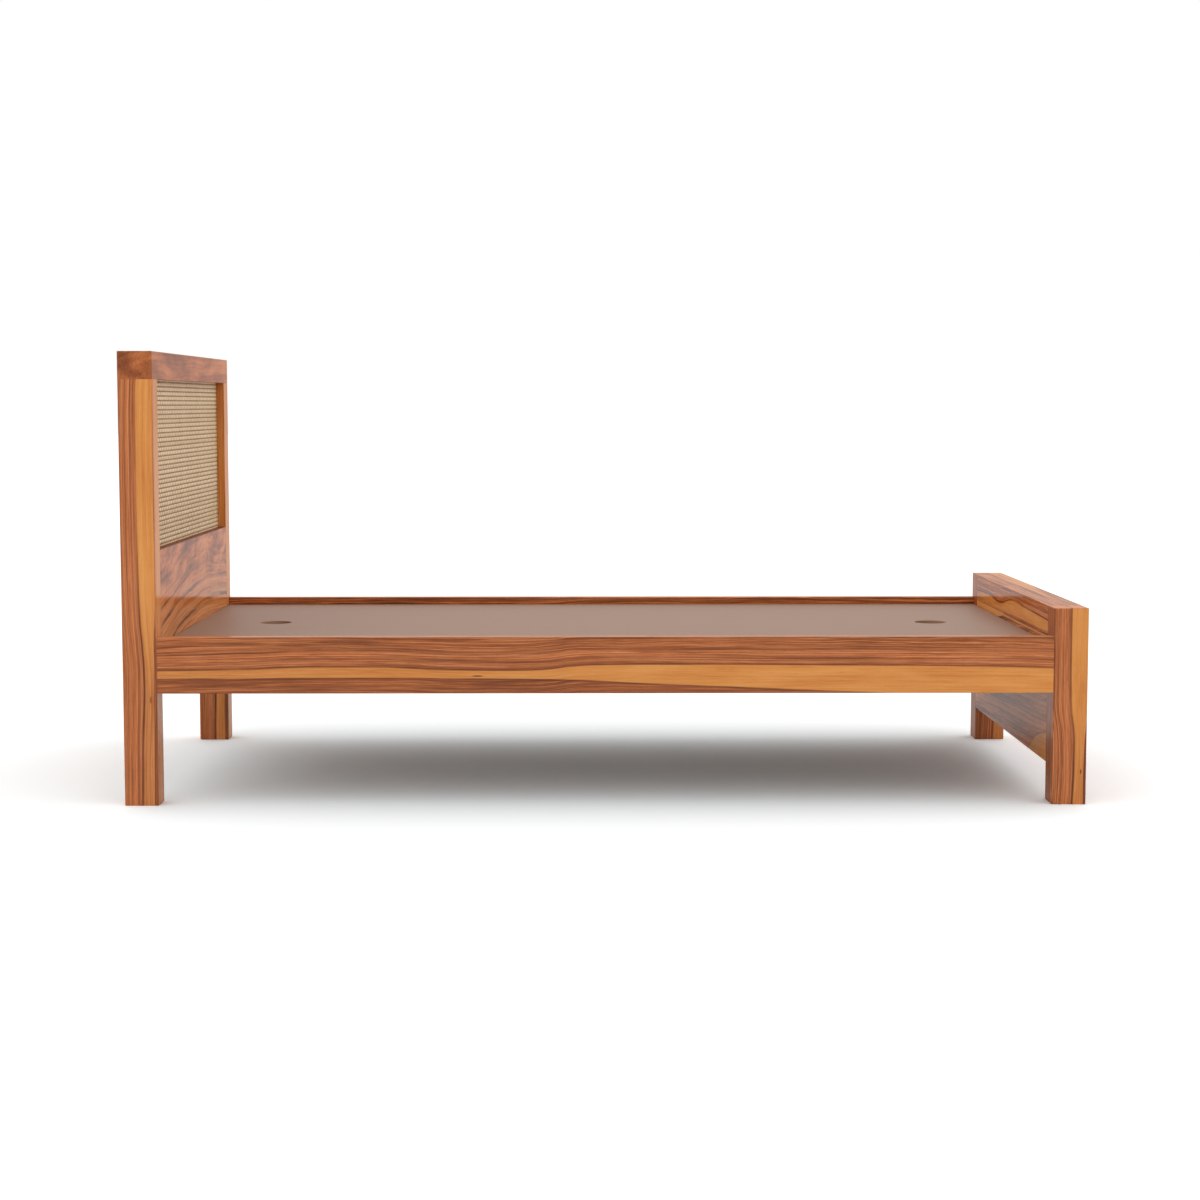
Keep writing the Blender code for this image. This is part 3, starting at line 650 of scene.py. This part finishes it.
class CANEBED_OT_head_posts(bpy.types.Operator):
    """Finish both tall posts of the headboard"""

    bl_idname = "cane_bed.head_posts"
    bl_label = "Head posts"

    def execute(self, context):
        left = head_post_lay(1, shade=0.19, leg_honey=0.3)
        right = head_post_lay(-1, shade=0.13, leg_honey=0.8)
        dress(rosewood("rosewood_head_post_left", 17.0, left, strays=0.4), "headboard_post_left")
        dress(rosewood("rosewood_head_post_right", 8.0, right, strays=0.4), "headboard_post_right")
        return {"FINISHED"}


class CANEBED_OT_head_cap(bpy.types.Operator):
    """Finish the cap across the head posts"""

    bl_idname = "cane_bed.head_cap"
    bl_label = "Head cap"

    def execute(self, context):
        dress(rosewood("rosewood_cap", 5.0, cap_lay), "headboard_cap")
        return {"FINISHED"}


class CANEBED_OT_head_panel(bpy.types.Operator):
    """Finish the figured panel under the cane"""

    bl_idname = "cane_bed.head_panel"
    bl_label = "Head panel"

    def execute(self, context):
        dress(rosewood("rosewood_head_panel", 2.0, head_panel_lay), "headboard_lower_panel")
        return {"FINISHED"}


def strand_middles(start, end, origin, pitch, width):
    """Numbers and middles of the strands that fit between two edges."""
    first = math.ceil((start + width / 2 - origin) / pitch)
    last = math.floor((end - width / 2 - origin) / pitch)
    return [(number, origin + number * pitch) for number in range(first, last + 1)]


def strand_points(start, end, origin, pitch, first_over, lift):
    """Places along a strand and its lift there: flat over one crossing, flat under the next."""
    points = []
    crossing = math.ceil((start - origin) / pitch)
    while origin + crossing * pitch < end:
        over = 1 if (crossing + first_over) % 2 else -1
        for offset in (-FLAT_SHARE, FLAT_SHARE):
            points.append((origin + (crossing + offset) * pitch, over * lift))
        crossing += 1
    inside = [(max(start, min(end, place)), height) for place, height in points]
    return [(start, inside[0][1])] + inside[1:-1] + [(end, inside[-1][1])]


def weave_strand(mesh, points, middle, width, thickness, seat, upright, material):
    """One flat strand with rounded edges along its points."""
    shoulder = width / 2 - thickness / 2
    section = [(-width / 2, 0), (-shoulder, thickness / 2), (shoulder, thickness / 2), (width / 2, 0),
               (shoulder, -thickness / 2), (-shoulder, -thickness / 2)]
    rings = []
    for place, lift in points:
        ring = []
        for across, out in section:
            y, z = (middle + across, place) if upright else (place, middle + across)
            ring.append(mesh.verts.new((seat + lift + out, y, z)))
        rings.append(ring)
    count = len(section)
    for ring, after in zip(rings, rings[1:]):
        for index in range(count):
            corner = (index + 1) % count
            face = mesh.faces.new((ring[index], ring[corner], after[corner], after[index]))
            face.material_index = material
            face.smooth = True
    for cap in (rings[0], rings[-1]):
        mesh.faces.new(cap).material_index = material


class CANEBED_OT_cane_field(bpy.types.Operator):
    """Weave the cane of the headboard strand by strand"""

    bl_idname = "cane_bed.cane_field"
    bl_label = "Cane field"

    def execute(self, context):
        weave = context.scene.cane_bed_weave
        low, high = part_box("cane_webbing")
        seat = (low.x + high.x) / 2
        lift = weave.strand_thickness * LIFT_SHARE
        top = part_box("headboard_cap")[0].z - weave.first_row
        mesh = bmesh.new()
        for row, middle in strand_middles(low.z, high.z, top, weave.row_pitch, weave.weft_width):
            points = strand_points(low.y, high.y, 0.0, weave.column_pitch, row, lift)
            weave_strand(mesh, points, middle, weave.weft_width, weave.strand_thickness, seat, False, 0)
        for column, middle in strand_middles(low.y, high.y, 0.0, weave.column_pitch, weave.warp_width):
            points = strand_points(low.z, high.z, top, weave.row_pitch, column + 1, lift)
            weave_strand(mesh, points, middle, weave.warp_width, weave.strand_thickness, seat, True, 1)
        bmesh.ops.recalc_face_normals(mesh, faces=mesh.faces)
        data = bpy.data.meshes.new("cane_weave")
        mesh.to_mesh(data)
        mesh.free()
        data.materials.append(split_cane("split_cane_weft", "z", "y", top, weave.row_pitch,
                                         weave.cane_pale, weave.cane_tan))
        data.materials.append(split_cane("split_cane_warp", "y", "z", 0.0, weave.column_pitch,
                                         weave.warp_pale, weave.warp_tan))
        piece = bpy.data.objects.new("cane_weave", data)
        context.scene.collection.objects.link(piece)
        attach(piece, "bed_frame")
        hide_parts("cane_webbing")
        return {"FINISHED"}


class CANEBED_OT_cane_frame(bpy.types.Operator):
    """Finish the ply behind the cane and the beads that hold it"""

    bl_idname = "cane_bed.cane_frame"
    bl_label = "Cane backing and beads"

    def execute(self, context):
        dress(stained_ply(), "cane_backing_panel")
        for seed, side in enumerate(("top", "bottom", "left", "right"), 20):
            dress(rosewood(f"rosewood_bead_{side}", seed, bead_lay, strays=0.3), f"cane_bead_{side}")
        return {"FINISHED"}


class CANEBED_OT_foot_posts(bpy.types.Operator):
    """Finish both short posts of the footboard"""

    bl_idname = "cane_bed.foot_posts"
    bl_label = "Foot posts"

    def execute(self, context):
        left = foot_post_lay(1, shade=0.14, top_honey=0.15)
        # Painted shade: the far post has the lower shade, for the shade inside the bed
        right = foot_post_lay(-1, shade=-0.04, top_honey=1.0)
        dress(rosewood("rosewood_foot_post_left", 11.0, left, strays=0.4), "footboard_post_left")
        dress(rosewood("rosewood_foot_post_right", 14.0, right, strays=0.4), "footboard_post_right")
        return {"FINISHED"}


class CANEBED_OT_foot_boards(bpy.types.Operator):
    """Finish the footboard's top rail and panel"""

    bl_idname = "cane_bed.foot_boards"
    bl_label = "Foot rail and panel"

    def execute(self, context):
        dress(rosewood("rosewood_foot_rail", 6.0, foot_rail_lay, strays=0.6), "footboard_top_rail")
        dress(rosewood("rosewood_foot_panel", 9.0, foot_panel_lay), "footboard_panel")
        return {"FINISHED"}


class CANEBED_OT_side_rails(bpy.types.Operator):
    """Finish both side rails"""

    bl_idname = "cane_bed.side_rails"
    bl_label = "Side rails"

    def execute(self, context):
        left = side_rail_lay(1, shade=0.11)
        # Painted shade: the far rail has the lower shade, for the shade inside the bed
        right = side_rail_lay(-1, shade=-0.03)
        dress(rosewood("rosewood_side_rail_left", 1.0, left), "side_rail_left")
        dress(rosewood("rosewood_side_rail_right", 4.0, right), "side_rail_right")
        return {"FINISHED"}


class CANEBED_OT_platform(bpy.types.Operator):
    """Finish the platform board, and the ledgers and battens that carry it"""

    bl_idname = "cane_bed.platform"
    bl_label = "Platform"

    def execute(self, context):
        dress(taupe_laminate(), "mattress_board")
        dress(softwood("softwood_ledger", "x", "y"), "ledger_left", "ledger_right")
        battens = [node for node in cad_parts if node.startswith("cross_batten")]
        dress(softwood("softwood_batten", "y", "x"), *battens)
        return {"FINISHED"}


class CANEBED_OT_fittings(bpy.types.Operator):
    """Finish the bolts, nuts, screws and dowels"""

    bl_idname = "cane_bed.fittings"
    bl_label = "Fittings"

    def execute(self, context):
        zinc = ("rail_bolt", "barrel_nut", "batten_screw")
        dress(zinc_plate(), *[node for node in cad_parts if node.startswith(zinc)])
        dress(turned_beech(), *[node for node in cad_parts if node.startswith("rail_dowel")])
        return {"FINISHED"}


def pale_floor(stage):
    """Matt floor that looks white to the camera and to mirrored rays, and keeps the shadow."""
    s = Finish("pale_floor")
    seen = s.node("ShaderNodeLightPath", {}, {}, "Is Camera Ray")
    for ray in ("Is Glossy Ray", "Is Transmission Ray"):
        seen = seen.most(s.node("ShaderNodeLightPath", {}, {}, ray))
    lit = s.node("ShaderNodeBsdfDiffuse", {}, {"Color": (*[stage.floor_bounce] * 3, 1)})
    white = s.node("ShaderNodeBsdfDiffuse", {}, {"Color": (*stage.floor_white, 1)})
    return s.join(s.node("ShaderNodeMixShader", {}, {0: seen, 1: lit, 2: white}))


class CANEBED_OT_stage(bpy.types.Operator):
    """Set the camera, the even white sky and the pale floor"""

    bl_idname = "cane_bed.stage"
    bl_label = "Stage"

    def execute(self, context):
        stage = context.scene.cane_bed_stage
        lens = bpy.data.cameras.new("camera")
        lens.lens = stage.camera_lens
        camera = bpy.data.objects.new("camera", lens)
        camera.location = stage.camera_place
        camera.rotation_euler = (math.pi / 2 - stage.camera_pitch, 0, -stage.camera_yaw)
        context.scene.collection.objects.link(camera)
        context.scene.camera = camera
        context.scene.view_settings.view_transform = "Standard"
        world = bpy.data.worlds.new("white_sky")
        world.use_nodes = True
        context.scene.world = world
        sky = NodeSheet(world.node_tree)
        light = sky.node("ShaderNodeBackground", {}, {"Color": (1, 1, 1, 1), "Strength": stage.sky_level})
        sky.node("ShaderNodeOutputWorld", {}, {0: light}, None)
        floor_mesh = bmesh.new()
        bmesh.ops.create_grid(floor_mesh, x_segments=1, y_segments=1, size=stage.floor_reach)
        data = bpy.data.meshes.new("floor")
        floor_mesh.to_mesh(data)
        floor_mesh.free()
        data.materials.append(pale_floor(stage))
        floor = bpy.data.objects.new("floor", data)
        context.scene.collection.objects.link(floor)
        return {"FINISHED"}


# Panel and registering

class CANEBED_PT_panel(bpy.types.Panel):
    """Lists the steps and settings of the bed's looks"""

    bl_idname = "CANEBED_PT_panel"
    bl_label = "Cane bed"
    bl_space_type = "VIEW_3D"
    bl_region_type = "UI"
    bl_category = "Cane bed"

    def draw(self, context):
        for step in STEPS:
            self.layout.operator(step.bl_idname)
        for group, pointer in GROUPS.items():
            box = self.layout.box()
            settings = getattr(context.scene, pointer)
            for name in group.__annotations__:
                box.prop(settings, name)


GROUPS = {
    CaneBedTimber: "cane_bed_timber",
    CaneBedWeave: "cane_bed_weave",
    CaneBedBoard: "cane_bed_board",
    CaneBedStage: "cane_bed_stage",
}
STEPS = (
    CANEBED_OT_stage,
    CANEBED_OT_head_posts,
    CANEBED_OT_head_cap,
    CANEBED_OT_head_panel,
    CANEBED_OT_cane_field,
    CANEBED_OT_cane_frame,
    CANEBED_OT_foot_posts,
    CANEBED_OT_foot_boards,
    CANEBED_OT_side_rails,
    CANEBED_OT_platform,
    CANEBED_OT_fittings,
)


def register():
    """Register the settings, the steps and the panel."""
    for group, pointer in GROUPS.items():
        bpy.utils.register_class(group)
        setattr(bpy.types.Scene, pointer, PointerProperty(type=group))
    for step in (*STEPS, CANEBED_PT_panel):
        bpy.utils.register_class(step)


def unregister():
    """Take the panel, the steps and the settings away again."""
    for step in (CANEBED_PT_panel, *reversed(STEPS)):
        bpy.utils.unregister_class(step)
    for group, pointer in reversed(GROUPS.items()):
        delattr(bpy.types.Scene, pointer)
        bpy.utils.unregister_class(group)


def main():
    """Dress the bed and set the stage."""
    register()
    for step in STEPS:
        family, name = step.bl_idname.split(".")
        getattr(getattr(bpy.ops, family), name)()


if __name__ == "__main__":
    main()
